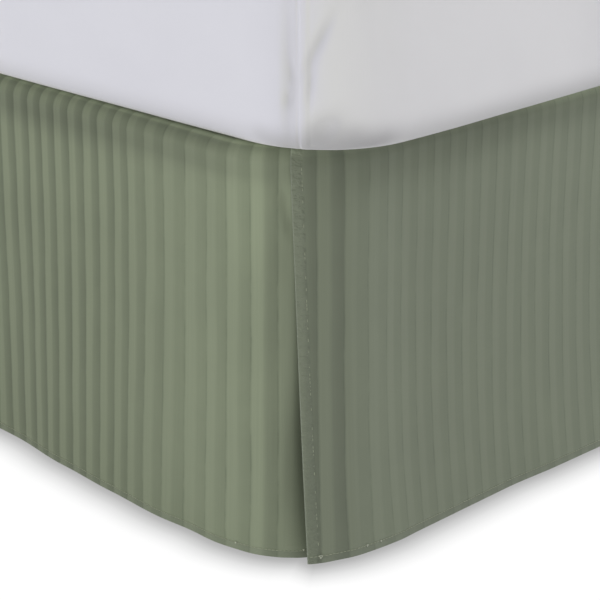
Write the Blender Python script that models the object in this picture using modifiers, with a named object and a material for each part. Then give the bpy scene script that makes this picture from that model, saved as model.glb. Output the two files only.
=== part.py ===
"""Tailored bed skirt with split corners, hanging on a plain bed.

The skirt is a flat deck that lies between mattress and foundation, with three
drop panels sewn round it: two sides and the foot end.  Each side panel runs round
its foot corner and a little way in behind the foot panel, whose hemmed ends hang
over it at the corner splits.  The bed is a mattress, a foundation with a soft top
edge, and a steel frame on nine legs.

Units are metres, +Z up.  The foot end faces -Y, the head end +Y, and the origin is
on the floor under the middle of the bed.
"""

import math

import bmesh
import bpy

# Cloth
CLOTH = 0.0015          # thickness of the skirt fabric as it hangs
GAP = 0.0003            # between pieces that touch
CLEARANCE = 0.002       # cloth off the hard edges that it falls over

# Bed, a queen size
BED_WIDTH = 1.524
BED_LENGTH = 2.032
CORNER_RADIUS = 0.095   # plan corners of the foundation
SHOULDER_RADIUS = 0.013  # top edge of the foundation
FOUNDATION_TOP = 0.365
FOUNDATION_HEIGHT = 0.191
MATTRESS_SWELL = 0.006   # how far the mattress stands past the foundation's size all round
MATTRESS_HEIGHT = 0.280
MATTRESS_CORNER_RADIUS = 0.097
MATTRESS_LOWER_EDGE = 0.012
MATTRESS_UPPER_EDGE = 0.035
MATTRESS_PLACE = (-0.0051, -0.0188)  # it lies a little off the middle
MATTRESS_TURN = math.radians(0.6)  # and a little askew

# Skirt
HEM_HEIGHT = 0.004      # the hem just clears the floor
STRIP = 0.030           # top of each drop panel, flat under the mattress
SIDE_FLARE = 0.0105     # how far the hem stands out at the sides
SIDE_CURVE = 1.5        # more than 1 where the drop bends outward on its way down
FOOT_FLARE = 0.0175     # the foot end hangs plumb for longer, then kicks out
FOOT_CURVE = 3.25
FLARE_BLEND = 0.080     # each way from a split, over which one flare passes into the other
UNDERLAP = 0.045        # side panel behind the foot panel, past the split
LAP_DRIFT = 0.0125      # how far the foot panel's free edge slants over the drop
LAP_DRIFT_LEVEL = 0.42  # share of the drop where that edge lies on the corner's middle
LAP_DRIFT_REACH = 0.100  # how far from the edge the slant dies out

# Steel frame
RAIL_WIDTH = 0.040
RAIL_HEIGHT = 0.030
RAIL_INSET = 0.060      # rail centre line in from the foundation's face
CROSS_RAIL_Y = (-0.800, 0.0, 0.800)
LEG_RADIUS = 0.016
GLIDE_RADIUS = 0.0225
GLIDE_HEIGHT = 0.012

HALF_WIDTH = BED_WIDTH / 2
HALF_LENGTH = BED_LENGTH / 2
HALF_ARC = CORNER_RADIUS * math.pi / 4      # from the split to the straight, along the arc
HEAD_ARC_START = HALF_ARC + BED_LENGTH - 2 * CORNER_RADIUS
LAP_LIFT = CLOTH + GAP                      # foot panel over the side panel's underlap
SHOULDER_STEPS = 5      # flats round the shoulder, the same in the cloth over it
CORNER_STEPS = 9        # flats round a plan corner
RIM_STEPS = 5           # flats round a mattress edge
POST_SIDES = 20
TINY = 1e-6
FOUNDATION_BOTTOM = FOUNDATION_TOP - FOUNDATION_HEIGHT
MATTRESS_BOTTOM = FOUNDATION_TOP + 2 * (CLOTH + GAP) + GAP
RAIL_TOP = FOUNDATION_BOTTOM - GAP
RAIL_X = HALF_WIDTH - RAIL_INSET

# Folds of the hanging cloth.  A row is one soft fold: its place along the panel from the
# split, half its width, its depth (plus is outward), the share of the drop where it starts,
# the share where it is fullest, and how far its foot drifts along the panel.
PLACE, HALF_SPAN, DEPTH, STARTS, FULLEST, DRIFT = range(6)
HEM_SHARE = 0.3         # of its depth, what a fold that is fullest above the hem keeps there
SPLIT_FOLDS = (
    (-0.034, 0.046, -0.0060, 0.37, 1.00, 0.000),
    (-0.004, 0.030, -0.0060, 0.37, 0.80, 0.000),
    (0.012, 0.030, -0.0030, 0.37, 1.00, 0.000),
)
LEFT_SIDE_FOLDS = SPLIT_FOLDS + (
    (0.048, 0.036, -0.0025, 0.19, 1.00, 0.000),
    (0.150, 0.060, 0.0045, 0.19, 1.00, 0.000),
    (0.215, 0.070, 0.0040, 0.19, 1.00, 0.000),
    (0.290, 0.080, 0.0025, 0.19, 1.00, 0.000),
    (0.375, 0.090, -0.0030, 0.19, 1.00, 0.000),
    (0.480, 0.110, -0.0020, 0.10, 1.00, 0.010),
    (0.640, 0.120, 0.0050, 0.37, 1.00, -0.012),
    (0.850, 0.150, -0.0040, 0.19, 1.00, 0.020),
    (1.110, 0.170, 0.0050, 0.28, 1.00, -0.020),
    (1.400, 0.160, -0.0040, 0.10, 1.00, 0.010),
    (1.700, 0.180, 0.0050, 0.24, 1.00, 0.000),
)
RIGHT_SIDE_FOLDS = SPLIT_FOLDS + (
    (0.064, 0.036, 0.0040, 0.28, 1.00, 0.000),
    (0.175, 0.080, -0.0030, 0.24, 1.00, -0.010),
    (0.330, 0.110, 0.0050, 0.19, 1.00, 0.012),
    (0.560, 0.130, -0.0040, 0.28, 1.00, 0.000),
    (0.800, 0.140, 0.0040, 0.10, 1.00, -0.018),
    (1.060, 0.160, -0.0050, 0.33, 1.00, 0.015),
    (1.360, 0.170, 0.0040, 0.19, 1.00, 0.000),
    (1.660, 0.160, -0.0040, 0.28, 1.00, 0.010),
)
FOOT_FOLDS = (
    (0.000, 0.030, 0.0050, 0.19, 1.00, 0.000),
    (0.060, 0.036, -0.0030, 0.37, 1.00, 0.000),
    (0.315, 0.085, 0.0040, 0.19, 1.00, 0.000),
    (0.415, 0.110, 0.0075, 0.19, 1.00, 0.000),
    (0.560, 0.110, 0.0020, 0.28, 1.00, 0.012),
    (0.745, 0.130, -0.0040, 0.10, 1.00, 0.000),
    (0.960, 0.120, 0.0050, 0.33, 1.00, -0.015),
    (1.160, 0.100, -0.0040, 0.19, 1.00, 0.010),
    (1.310, 0.070, 0.0030, 0.24, 1.00, 0.000),
    (1.425, 0.036, -0.0020, 0.37, 1.00, 0.000),
    (1.485, 0.030, 0.0040, 0.19, 1.00, 0.000),
)

# Stations across a panel: spacing of the mesh round a corner, further on, and in the straight.
CORNER_STEP, NEAR_STEP, FAR_STEP = 0.0095, 0.026, 0.050
CORNER_ZONE, NEAR_ZONE = 0.104, 0.430
DROP_ROWS = (0.10, 0.24, 0.40, 0.56, 0.72, 0.86, 1.0)


def clear_scene():
    for obj in list(bpy.data.objects):
        bpy.data.objects.remove(obj, do_unlink=True)
    for collection in list(bpy.data.collections):
        bpy.data.collections.remove(collection)


def material(name, colour, roughness, metallic=0.0):
    made = bpy.data.materials.new(name)
    made.use_nodes = True
    shader = made.node_tree.nodes["Principled BSDF"]
    shader.inputs["Base Color"].default_value = (*colour, 1.0)
    shader.inputs["Roughness"].default_value = roughness
    shader.inputs["Metallic"].default_value = metallic
    return made


def add_object(name, bm, surface, collection, location=(0, 0, 0)):
    mesh = bpy.data.meshes.new(name)
    bm.to_mesh(mesh)
    bm.free()
    mesh.materials.append(surface)
    obj = bpy.data.objects.new(name, mesh)
    obj.location = location
    collection.objects.link(obj)
    return obj


# ---- plan outline and section of the hanging cloth ----

def outline_point(along):
    """Foundation outline round its corners at -X: (x, y, normal x, normal y).

    along is 0 at the middle of the foot corner, less than 0 along the foot end, and
    more than 0 up the side and round the head corner.
    """
    centre_x, centre_y = CORNER_RADIUS - HALF_WIDTH, CORNER_RADIUS - HALF_LENGTH
    if along < -HALF_ARC:
        return centre_x - along - HALF_ARC, -HALF_LENGTH, 0.0, -1.0
    if HALF_ARC < along < HEAD_ARC_START:
        return -HALF_WIDTH, centre_y + along - HALF_ARC, -1.0, 0.0
    if along <= HALF_ARC:
        angle = math.radians(225) - along / CORNER_RADIUS
    else:
        angle = math.radians(180) - (along - HEAD_ARC_START) / CORNER_RADIUS
        centre_y = -centre_y
    normal_x, normal_y = math.cos(angle), math.sin(angle)
    return centre_x + CORNER_RADIUS * normal_x, centre_y + CORNER_RADIUS * normal_y, normal_x, normal_y


def smooth(share):
    share = min(1.0, max(0.0, share))
    return share * share * (3 - 2 * share)


def fold_depth(folds, along, down):
    """How far the folds push the cloth out, at a share down of the drop."""
    depth = 0.0
    for fold in folds:
        centre = fold[PLACE] + fold[DRIFT] * (down - 0.5)
        across = (along - centre) / fold[HALF_SPAN]
        if abs(across) >= 1:
            continue
        grown = smooth((down - fold[STARTS]) / (fold[FULLEST] - fold[STARTS]))
        if down > fold[FULLEST]:
            grown -= (1 - HEM_SHARE) * smooth((down - fold[FULLEST]) / (1 - fold[FULLEST]))
        depth += fold[DEPTH] * grown * 0.5 * (1 + math.cos(math.pi * across))
    return depth


def flare(along, down):
    """How far the drop stands out, at along from a split: more than 0 on the side."""
    side_share = smooth((along + FLARE_BLEND) / (2 * FLARE_BLEND))
    return (side_share * SIDE_FLARE * down ** SIDE_CURVE
            + (1 - side_share) * FOOT_FLARE * down ** FOOT_CURVE)


def section_point(row, lift, pushed_out):
    """Inner face of the cloth in the plane across its edge: (outward, height).

    row runs 0 to 1 over the strip under the mattress, 1 to 2 round the shoulder
    and 2 to 3 down the drop.
    """
    if row <= 1:
        return -SHOULDER_RADIUS - STRIP * (1 - row), FOUNDATION_TOP + GAP + lift
    if row <= 2:
        angle = math.radians(90) * (row - 1)
        off = GAP + (CLEARANCE - GAP) * min(1.0, (row - 1) * SHOULDER_STEPS / 2)
        radius = SHOULDER_RADIUS + off + lift
        return (radius * math.sin(angle) - SHOULDER_RADIUS,
                radius * math.cos(angle) + FOUNDATION_TOP - SHOULDER_RADIUS)
    shoulder_height = FOUNDATION_TOP - SHOULDER_RADIUS
    return (CLEARANCE + lift + pushed_out,
            shoulder_height + (HEM_HEIGHT - shoulder_height) * (row - 2))


def section_rows():
    rows = [0.0, 1.0]
    rows += [1 + step / SHOULDER_STEPS for step in range(1, SHOULDER_STEPS + 1)]
    return rows + [2 + share for share in DROP_ROWS]


def stations(start, end, fine_ends):
    """Places along a panel, close together round the corners that it meets at fine_ends."""
    places = [start]
    while places[-1] < end - TINY:
        here = places[-1]
        nearest = min(abs(here - corner) for corner in fine_ends)
        ahead = [corner - CORNER_ZONE - here for corner in fine_ends if corner - CORNER_ZONE > here]
        if nearest < CORNER_ZONE - TINY:
            step = CORNER_STEP
        else:
            step = NEAR_STEP if nearest < NEAR_ZONE else FAR_STEP
            step = min([step] + [distance for distance in ahead if distance > TINY])
        places.append(min(end, here + step))
    if places[-1] - places[-2] < 0.3 * CORNER_STEP:
        places.pop(-2)
    return places


# ---- skirt ----

def cloth_panel(name, places, point_at, surface, collection, faces_out):
    """A thin sheet: a grid whose points are put on the hanging form, then thickened outward."""
    rows = section_rows()
    bm = bmesh.new()
    bmesh.ops.create_grid(bm, x_segments=len(places) - 1, y_segments=len(rows) - 1, size=1.0)
    for vertex in bm.verts:
        column = round((vertex.co.x + 1) / 2 * (len(places) - 1))
        row = round((vertex.co.y + 1) / 2 * (len(rows) - 1))
        vertex.co = point_at(places[column], rows[row])
    obj = add_object(name, bm, surface, collection)
    obj.data.shade_smooth()
    thicken = obj.modifiers.new("cloth thickness", "SOLIDIFY")
    thicken.thickness = CLOTH
    thicken.offset = 1.0 if faces_out else -1.0
    thicken.use_even_offset = True
    return obj


def side_panel(name, side, folds, surface, collection):
    """side is -1 for the left of the bed and +1 for the right."""
    end = HEAD_ARC_START + HALF_ARC

    def point_at(along, row):
        down = max(0.0, row - 2)
        x, y, normal_x, normal_y = outline_point(along)
        out, height = section_point(row, 0.0, flare(along, down) + fold_depth(folds, along, down))
        return -side * (x + normal_x * out), y + normal_y * out, height

    places = stations(-UNDERLAP, end, (0.0, end))
    return cloth_panel(name, places, point_at, surface, collection, side < 0)


def foot_panel(name, folds, surface, collection):
    """The foot end, from split to split.  Its ends are lifted over the side panels."""
    length = 2 * (HALF_ARC + HALF_WIDTH - CORNER_RADIUS)

    def point_at(along, row):
        down = max(0.0, row - 2)
        from_split = min(along, length - along)
        drift = LAP_DRIFT * (down - LAP_DRIFT_LEVEL) * (1 - smooth(from_split / LAP_DRIFT_REACH))
        x, y, normal_x, normal_y = outline_point(-from_split - drift)
        lift = LAP_LIFT * (1 - smooth((from_split - UNDERLAP - CORNER_STEP) / (CORNER_ZONE - UNDERLAP)))
        pushed_out = flare(-from_split, down) + fold_depth(folds, along, down)
        out, height = section_point(row, lift, pushed_out)
        x, y = x + normal_x * out, y + normal_y * out
        return (x if along < length / 2 else -x), y, height

    places = stations(0.0, length, (0.0, length))
    return cloth_panel(name, places, point_at, surface, collection, False)


# ---- plain pieces ----

def slab(name, low, high, surface, collection, corners=None, rims=None):
    """A block from low to high.

    corners is (radius, steps) for the upright edges, and rims lists
    (height, radius, steps) for the horizontal edges at that height.
    """
    bm = bmesh.new()
    bmesh.ops.create_cube(bm, size=1.0)
    for vertex in bm.verts:
        vertex.co = [low[k] + (vertex.co[k] + 0.5) * (high[k] - low[k]) for k in range(3)]
    if corners:
        radius, steps = corners
        upright = [edge for edge in bm.edges
                   if abs(edge.verts[0].co.z - edge.verts[1].co.z) > TINY]
        bmesh.ops.bevel(bm, geom=upright, offset=radius, segments=steps, profile=0.5,
                        affect="EDGES", clamp_overlap=False)
    for height, radius, steps in rims or ():
        around = [edge for edge in bm.edges
                  if all(abs(vertex.co.z - height) < TINY for vertex in edge.verts)]
        bmesh.ops.bevel(bm, geom=around, offset=radius, segments=steps, profile=0.5,
                        affect="EDGES", clamp_overlap=False)
    bmesh.ops.recalc_face_normals(bm, faces=bm.faces)
    obj = add_object(name, bm, surface, collection)
    obj.data.shade_smooth()
    obj.data.set_sharp_from_angle(angle=math.radians(35))
    return obj


def post(name, x, y, radius, low, high, surface, collection):
    bm = bmesh.new()
    bmesh.ops.create_cone(bm, cap_ends=True, segments=POST_SIDES,
                          radius1=radius, radius2=radius, depth=high - low)
    return add_object(name, bm, surface, collection, (x, y, (low + high) / 2))


def build_bed(collection):
    ticking = material("ticking_white", (0.80, 0.79, 0.80), 0.85)
    steel = material("steel_dark", (0.035, 0.035, 0.038), 0.45, 0.6)
    plastic = material("plastic_dark", (0.02, 0.02, 0.02), 0.6)

    top = MATTRESS_BOTTOM + MATTRESS_HEIGHT
    half_width, half_length = HALF_WIDTH + MATTRESS_SWELL, HALF_LENGTH + MATTRESS_SWELL
    mattress = slab("mattress", (-half_width, -half_length, MATTRESS_BOTTOM),
                    (half_width, half_length, top), ticking, collection,
                    corners=(MATTRESS_CORNER_RADIUS, CORNER_STEPS),
                    rims=((MATTRESS_BOTTOM, MATTRESS_LOWER_EDGE, RIM_STEPS),
                          (top, MATTRESS_UPPER_EDGE, RIM_STEPS)))
    mattress.location = (*MATTRESS_PLACE, 0.0)
    mattress.rotation_euler.z = MATTRESS_TURN
    slab("foundation", (-HALF_WIDTH, -HALF_LENGTH, FOUNDATION_BOTTOM),
         (HALF_WIDTH, HALF_LENGTH, FOUNDATION_TOP), ticking, collection,
         corners=(CORNER_RADIUS, CORNER_STEPS),
         rims=((FOUNDATION_TOP, SHOULDER_RADIUS, SHOULDER_STEPS),))

    rail_low = RAIL_TOP - RAIL_HEIGHT
    for name, side in (("side_rail_left", -1), ("side_rail_right", 1)):
        centre = side * RAIL_X
        slab(name, (centre - RAIL_WIDTH / 2, RAIL_INSET - HALF_LENGTH, rail_low),
             (centre + RAIL_WIDTH / 2, HALF_LENGTH - RAIL_INSET, RAIL_TOP), steel, collection)
    cross_reach = RAIL_X - RAIL_WIDTH / 2 - GAP
    for row, place in zip(("foot", "middle", "head"), CROSS_RAIL_Y):
        slab(f"cross_rail_{row}", (-cross_reach, place - RAIL_WIDTH / 2, rail_low),
             (cross_reach, place + RAIL_WIDTH / 2, RAIL_TOP), steel, collection)
        for column, x in (("left", -RAIL_X), ("centre", 0.0), ("right", RAIL_X)):
            post(f"leg_{row}_{column}", x, place, LEG_RADIUS, GLIDE_HEIGHT, rail_low - GAP,
                 steel, collection)
            post(f"glide_{row}_{column}", x, place, GLIDE_RADIUS, 0.0, GLIDE_HEIGHT - GAP,
                 plastic, collection)


def build_skirt(collection):
    striped = material("skirt_sage", (0.20, 0.235, 0.155), 0.6)
    plain = material("deck_plain", (0.62, 0.61, 0.58), 0.9)

    deck_inset = SHOULDER_RADIUS + STRIP + GAP
    slab("skirt_deck", (deck_inset - HALF_WIDTH, deck_inset - HALF_LENGTH, FOUNDATION_TOP + GAP),
         (HALF_WIDTH - deck_inset, HALF_LENGTH - deck_inset, FOUNDATION_TOP + GAP + CLOTH),
         plain, collection, corners=(CORNER_RADIUS - deck_inset, CORNER_STEPS))
    side_panel("skirt_side_left", -1, LEFT_SIDE_FOLDS, striped, collection)
    side_panel("skirt_side_right", 1, RIGHT_SIDE_FOLDS, striped, collection)
    foot_panel("skirt_foot", FOOT_FOLDS, striped, collection)


def main():
    clear_scene()
    collection = bpy.data.collections.new("bed_skirt")
    bpy.context.scene.collection.children.link(collection)
    build_bed(collection)
    build_skirt(collection)


main()
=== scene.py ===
"""Looks of a tailored bed skirt with split corners, hanging on a plain bed.

The sections follow the bed as it is put together: steel frame, glides, foundation,
skirt deck, side panels, foot panel, stitching, mattress, and the studio round it.
Units are metres, +Z up; the foot end faces -Y.
"""

import math

import bpy
import numpy as np
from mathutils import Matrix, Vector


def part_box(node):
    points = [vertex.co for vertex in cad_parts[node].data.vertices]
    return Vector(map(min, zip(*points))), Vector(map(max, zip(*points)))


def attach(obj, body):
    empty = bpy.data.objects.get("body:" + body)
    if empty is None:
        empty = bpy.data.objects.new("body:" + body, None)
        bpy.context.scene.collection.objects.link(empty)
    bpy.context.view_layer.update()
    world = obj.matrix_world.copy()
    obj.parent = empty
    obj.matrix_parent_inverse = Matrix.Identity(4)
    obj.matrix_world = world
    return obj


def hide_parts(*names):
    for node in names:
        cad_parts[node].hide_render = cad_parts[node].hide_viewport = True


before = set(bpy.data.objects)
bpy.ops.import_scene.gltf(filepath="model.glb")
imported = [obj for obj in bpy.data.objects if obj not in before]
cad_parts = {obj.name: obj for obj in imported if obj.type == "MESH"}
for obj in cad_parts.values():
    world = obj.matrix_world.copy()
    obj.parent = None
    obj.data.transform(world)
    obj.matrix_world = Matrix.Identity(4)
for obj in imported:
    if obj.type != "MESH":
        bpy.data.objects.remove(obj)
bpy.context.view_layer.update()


# ---- Steel bed frame ----
# Two side rails and three cross rails of sheet steel stand on nine tube legs.  All are
# powder coated dark grey, with a fine orange-peel skin, dust on what faces up, and bare
# rubbed patches where the rails were slid together.

COAT_COLOUR = (0.030, 0.030, 0.033)
COAT_SHADE = (0.040, 0.039, 0.040)
RUBBED_COLOUR = (0.16, 0.155, 0.15)
DUST_COLOUR = (0.32, 0.30, 0.28)


def node(tree, kind, inputs=None, **settings):
    """A shader node; each input takes a plain value, or the socket that feeds it."""
    made = tree.nodes.new("ShaderNode" + kind)
    for name, value in settings.items():
        setattr(made, name, value)
    for name, value in (inputs or {}).items():
        if isinstance(value, bpy.types.NodeSocket):
            tree.links.new(value, made.inputs[name])
        else:
            made.inputs[name].default_value = value
    return made


def maths(tree, operation, *terms):
    return node(tree, "Math", dict(enumerate(terms)), operation=operation).outputs[0]


def mixed(tree, share, first, second):
    """The first colour passing into the second; each is a colour or a socket."""
    made = node(tree, "Mix", data_type="RGBA")
    sockets = {socket.identifier: socket for socket in made.inputs}
    for name, value in (("Factor_Float", share), ("A_Color", first), ("B_Color", second)):
        if isinstance(value, bpy.types.NodeSocket):
            tree.links.new(value, sockets[name])
        elif name == "Factor_Float":
            sockets[name].default_value = value
        else:
            sockets[name].default_value = (*value, 1.0)
    return next(socket for socket in made.outputs if socket.identifier == "Result_Color")


def eased(tree, value, low, high, to_low=0.0, to_high=1.0):
    """A value that runs from low to high, made to run from to_low to to_high."""
    inputs = {"Value": value, "From Min": low, "From Max": high,
              "To Min": to_low, "To Max": to_high}
    return node(tree, "MapRange", inputs, interpolation_type="SMOOTHSTEP").outputs["Result"]


def noise(tree, place, scale, detail=2.0, roughness=0.5):
    inputs = {"Vector": place, "Scale": scale, "Detail": detail, "Roughness": roughness}
    return node(tree, "TexNoise", inputs).outputs["Fac"]


def stretched(tree, place, scale):
    """Coordinates with each axis multiplied, for grain that runs one way."""
    return node(tree, "Mapping", {"Vector": place, "Scale": scale}).outputs["Vector"]


def effect(name, takes, gives):
    """An empty shader group, with its input and output nodes."""
    group = bpy.data.node_groups.new(name, "ShaderNodeTree")
    for socket, kind in takes.items():
        group.interface.new_socket(socket, in_out="INPUT", socket_type="NodeSocket" + kind)
    for socket, kind in gives.items():
        group.interface.new_socket(socket, in_out="OUTPUT", socket_type="NodeSocket" + kind)
    takes_node, gives_node = (group.nodes.new("NodeGroup" + end) for end in ("Input", "Output"))
    return group, takes_node.outputs, gives_node.inputs


def finish_of(name, **even):
    """A new material: itself, its tree and its Principled shader, whose even values are set."""
    made = bpy.data.materials.new(name)
    made.use_nodes = True
    shader = made.node_tree.nodes["Principled BSDF"]
    for socket, value in even.items():
        shader.inputs[socket.replace("_", " ")].default_value = value
    return made, made.node_tree, shader.inputs


def dress(tree, sockets, colour, rough, normal):
    """Feed a Principled shader's colour, roughness and normal."""
    for value, name in ((colour, "Base Color"), (rough, "Roughness"), (normal, "Normal")):
        tree.links.new(value, sockets[name])


def in_metres(tree):
    return node(tree, "TexCoord").outputs["Object"]


def bumped(tree, height, distance, strength, under=None):
    """The normal over a relief, which may lie on the normal of a coarser or finer one."""
    inputs = {"Height": height, "Distance": distance, "Strength": strength}
    if under:
        inputs["Normal"] = under
    return node(tree, "Bump", inputs).outputs["Normal"]


def axis_of(tree, vector, axis):
    return node(tree, "SeparateXYZ", {"Vector": vector}).outputs[axis]


def use_effect():
    """Dust that has settled on what faces up, and the blotches of handling."""
    group, takes, gives = effect("dust_and_handling", {"Place": "Vector", "Dust": "Float"},
                                 {"Dust": "Float", "Rubbed": "Float"})
    upward = axis_of(group, node(group, "NewGeometry").outputs["Normal"], "Z")
    patchy = eased(group, noise(group, takes["Place"], 9.0, 4.0), 0.35, 0.70)
    settled = maths(group, "MULTIPLY", eased(group, upward, 0.2, 0.9), patchy)
    group.links.new(maths(group, "MULTIPLY", settled, takes["Dust"]), gives["Dust"])
    scuffs = noise(group, stretched(group, takes["Place"], (3.0, 0.6, 3.0)), 22.0, 6.0, 0.7)
    group.links.new(eased(group, scuffs, 0.66, 0.76), gives["Rubbed"])
    return group


dust_and_handling = use_effect()


def use_on(tree, place, dust):
    inputs = {"Place": place, "Dust": dust}
    return node(tree, "Group", inputs, node_tree=dust_and_handling).outputs


def powder_coat():
    made, tree, sockets = finish_of("powder_coat_dark", Metallic=0.0)
    place = in_metres(tree)
    use = use_on(tree, place, 0.55)
    coat = mixed(tree, noise(tree, place, 14.0), COAT_COLOUR, COAT_SHADE)
    coat = mixed(tree, use["Rubbed"], coat, RUBBED_COLOUR)
    rough = eased(tree, noise(tree, place, 40.0, 3.0), 0.3, 0.7, 0.38, 0.52)
    rough = maths(tree, "ADD", rough, maths(tree, "MULTIPLY", use["Dust"], 0.4))
    peel = bumped(tree, noise(tree, place, 900.0, 2.0), 0.0002, 0.35)
    dress(tree, sockets, mixed(tree, use["Dust"], coat, DUST_COLOUR), rough, peel)
    return made


coated_steel = powder_coat()
for name, cad_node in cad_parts.items():
    if "rail" in name or name.startswith("leg_"):
        cad_node.material_slots[0].material = coated_steel


# ---- Glides ----
# A moulded plastic cup is pushed on the foot of each leg.  Its skin is finely grained,
# and it is scuffed and dusty where it slides on the floor.

GLIDE_COLOUR = (0.022, 0.022, 0.024)
GLIDE_SCUFF_COLOUR = (0.13, 0.125, 0.12)
SCUFFED_UP_TO = 0.006   # height off the floor


def moulded_plastic():
    made, tree, sockets = finish_of("glide_plastic_dark")
    place = in_metres(tree)
    use = use_on(tree, place, 0.7)
    near_floor = maths(tree, "MULTIPLY", eased(tree, axis_of(tree, place, "Z"), SCUFFED_UP_TO, 0.0),
                       eased(tree, noise(tree, place, 160.0, 4.0), 0.40, 0.65))
    body = mixed(tree, near_floor, GLIDE_COLOUR, GLIDE_SCUFF_COLOUR)
    grain = noise(tree, place, 1400.0, 2.0)
    dress(tree, sockets, mixed(tree, use["Dust"], body, DUST_COLOUR),
          eased(tree, grain, 0.2, 0.8, 0.50, 0.70), bumped(tree, grain, 0.0001, 0.4))
    return made


scuffed_plastic = moulded_plastic()
for name, cad_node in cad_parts.items():
    if name.startswith("glide_"):
        cad_node.material_slots[0].material = scuffed_plastic


# ---- Foundation ----
# A sprung box covered in off-white woven ticking that is stapled under its base.  A corded
# welt runs round the top edge and round the bottom edge.

foundation_low, foundation_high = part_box("foundation")
HALF_WIDTH, HALF_LENGTH = foundation_high.x, foundation_high.y
FOUNDATION_TOP, FOUNDATION_BOTTOM = foundation_high.z, foundation_low.z
CORNER_RADIUS = 0.095
SHOULDER_RADIUS = 0.013
SIDE_TOP = FOUNDATION_TOP - SHOULDER_RADIUS - FOUNDATION_BOTTOM  # above the underside
TOP_CLEAR = 0.0008      # room under the deck
WELT_RADIUS = 0.0028
WELT_CLEAR = 0.0005     # the lower welt's, up from the underside and in from the side
BODY_INSET = 0.0015     # the sides lie this far in from the welts
SIDE_SWELL = 0.0012     # and bow out by this at mid height
TICKING_COLOUR = (0.70, 0.685, 0.65)
TICKING_SHADE = (0.60, 0.585, 0.55)
SOILED_COLOUR = (0.52, 0.49, 0.43)


def rounded_outline(half_x, half_y, radius, across, along_side, corner_steps):
    """Points round a rectangle with round corners, and their outward normals, anticlockwise.

    across and along_side are how many lengths the straights in X and in Y are cut in.
    """
    points, normals = [], []
    corners = ((1, 1, 0), (-1, 1, 90), (-1, -1, 180), (1, -1, 270))
    for index, (side_x, side_y, start) in enumerate(corners):
        centre = np.array((side_x * (half_x - radius), side_y * (half_y - radius)))
        angles = np.radians(start + np.linspace(0, 90, corner_steps + 1))
        around = np.stack((np.cos(angles), np.sin(angles)), axis=1)
        points.append(centre + radius * around)
        normals.append(around)
        run = 2 * (half_x - radius) if index % 2 == 0 else 2 * (half_y - radius)
        count = across if index % 2 == 0 else along_side
        share = np.arange(1, count) / count
        along = np.array((-around[-1][1], around[-1][0]))
        points.append(points[-1][-1] + share[:, None] * run * along)
        normals.append(np.repeat(around[-1:], count - 1, axis=0))
    return np.concatenate(points), np.concatenate(normals)


def foundation_plan(inset):
    """The foundation's outline and its outward normals, drawn in by an inset."""
    return rounded_outline(HALF_WIDTH - inset, HALF_LENGTH - inset, CORNER_RADIUS - inset,
                           across=44, along_side=60, corner_steps=14)


def at_height(plan, height):
    """A ring of points at one height over a plan."""
    return np.column_stack((plan, np.full(len(plan), height)))


def mesh_piece(name, points, faces, finish):
    """A smooth mesh object from an array of points and lists of faces."""
    mesh = bpy.data.meshes.new(name)
    mesh.from_pydata([tuple(p) for p in points], [], [tuple(f) for f in faces])
    mesh.materials.append(finish)
    mesh.shade_smooth()
    piece = bpy.data.objects.new(name, mesh)
    bpy.context.scene.collection.objects.link(piece)
    return piece


def band(first, other, count):
    """The quads between two rings of points, given the number of each ring's first point."""
    return [(first + k, first + (k + 1) % count, other + (k + 1) % count, other + k)
            for k in range(count)]


def ringed_body(name, rings, finish):
    """A closed body from rings of equal count, lowest first; the end rings are capped."""
    count = len(rings[0])
    top = (len(rings) - 1) * count
    faces = []
    for low in range(0, top, count):
        faces += band(low, low + count, count)
    faces.append(range(count - 1, -1, -1))
    faces.append(range(top, top + count))
    return mesh_piece(name, np.concatenate(rings), faces, finish)


def woven_effect():
    """The over and under of a plain weave, with yarns of uneven thickness."""
    group, takes, gives = effect("woven_yarns", {"Cloth": "Vector", "Yarns": "Float"},
                                 {"Height": "Float", "Unevenness": "Float"})
    turned = node(group, "VectorMath", {0: takes["Cloth"]}, operation="SCALE")
    group.links.new(takes["Yarns"], turned.inputs["Scale"])
    yarns = turned.outputs["Vector"]
    wander = noise(group, yarns, 0.05, 2.0)
    waves, slubs = [], []
    for axis, swing, grain in (("X", 5.0, (1.0, 0.03, 1.0)), ("Y", 4.0, (0.03, 1.0, 1.0))):
        turns = maths(group, "MULTIPLY", axis_of(group, yarns, axis), math.tau)
        wandered = maths(group, "ADD", turns, maths(group, "MULTIPLY", wander, swing))
        waves.append(maths(group, "SINE", wandered))
        slubs.append(noise(group, stretched(group, yarns, grain), 0.9, 2.0))
    group.links.new(eased(group, maths(group, "MULTIPLY", *waves), -1.0, 1.0), gives["Height"])
    group.links.new(maths(group, "MULTIPLY", maths(group, "ADD", *slubs), 0.5),
                    gives["Unevenness"])
    return group


woven_yarns = woven_effect()


def weave_on(tree, place, yarns):
    """A plain weave on an object's own coordinates, with so many yarns to the metre."""
    return node(tree, "Group", {"Cloth": place, "Yarns": yarns}, node_tree=woven_yarns).outputs


def ticking():
    made, tree, sockets = finish_of("ticking_off_white", Sheen_Weight=0.15, Sheen_Roughness=0.5)
    place = in_metres(tree)
    weave = weave_on(tree, place, 1500.0)
    tone = mixed(tree, weave["Unevenness"], TICKING_SHADE, TICKING_COLOUR)
    soiled = eased(tree, noise(tree, place, 3.0, 4.0), 0.5, 0.8, 0.0, 0.35)
    rough = eased(tree, weave["Height"], 0.0, 1.0, 0.92, 0.78)
    yarns = bumped(tree, weave["Height"], 0.0002, 0.5)
    quilt = bumped(tree, noise(tree, place, 11.0, 3.0), 0.006, 0.5, under=yarns)
    dress(tree, sockets, mixed(tree, soiled, tone, SOILED_COLOUR), rough, quilt)
    return made


off_white_ticking = ticking()


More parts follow.
